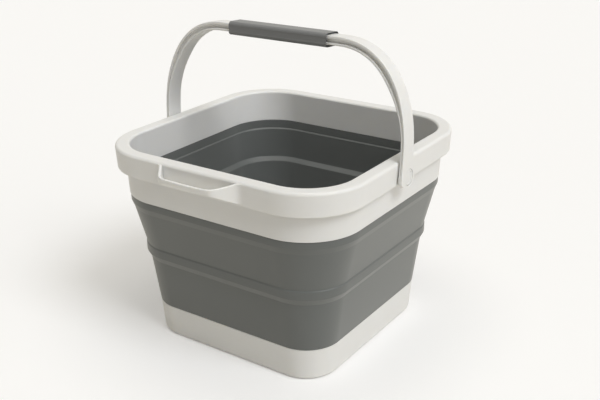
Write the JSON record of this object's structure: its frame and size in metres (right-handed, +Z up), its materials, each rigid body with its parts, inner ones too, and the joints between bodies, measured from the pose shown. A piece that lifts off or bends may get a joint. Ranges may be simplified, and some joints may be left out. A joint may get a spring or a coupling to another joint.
{
  "type": "collapsible camp bucket",
  "caption": "Rounded-square collapsible bucket with a hard hollow rim, a soft stepped folding wall, a hard base pan, a moulded loop handle and a swinging bail with a grip sleeve.",
  "frame": {"origin": "middle of the base pan's underside, on the floor", "axes": "+Z up; -Y is the face with the loop handle; +X and -X are the sides with the bail's pivots"},
  "size_m": [0.2926, 0.2973, 0.3143],
  "materials": {
    "hard_plastic": "warm white polypropylene, satin",
    "soft_wall": "grey soft moulded elastomer, matt",
    "soft_grip": "dark grey soft moulded elastomer, matt"
  },
  "bodies": {
    "base": {"base_pan": "hard_plastic", "lower_wall_band": "soft_wall"},
    "rim": {"rim_frame": "hard_plastic", "upper_wall_band": "soft_wall", "pivot_pin_left": "hard_plastic", "pivot_pin_right": "hard_plastic"},
    "bail": {"bail": "hard_plastic", "grip_sleeve": "soft_grip"}
  },
  "joints": [
    {"name": "wall_fold", "type": "slide", "parent": "base", "child": "rim", "axis": [0, 0, 1], "range_m": [-0.0865, 0]},
    {"name": "bail_swing", "type": "hinge", "parent": "rim", "child": "bail", "pos_m": [0, -0.008, 0.1906], "axis": [1, 0, 0], "range_deg": [-54, 57.5]}
  ]
}
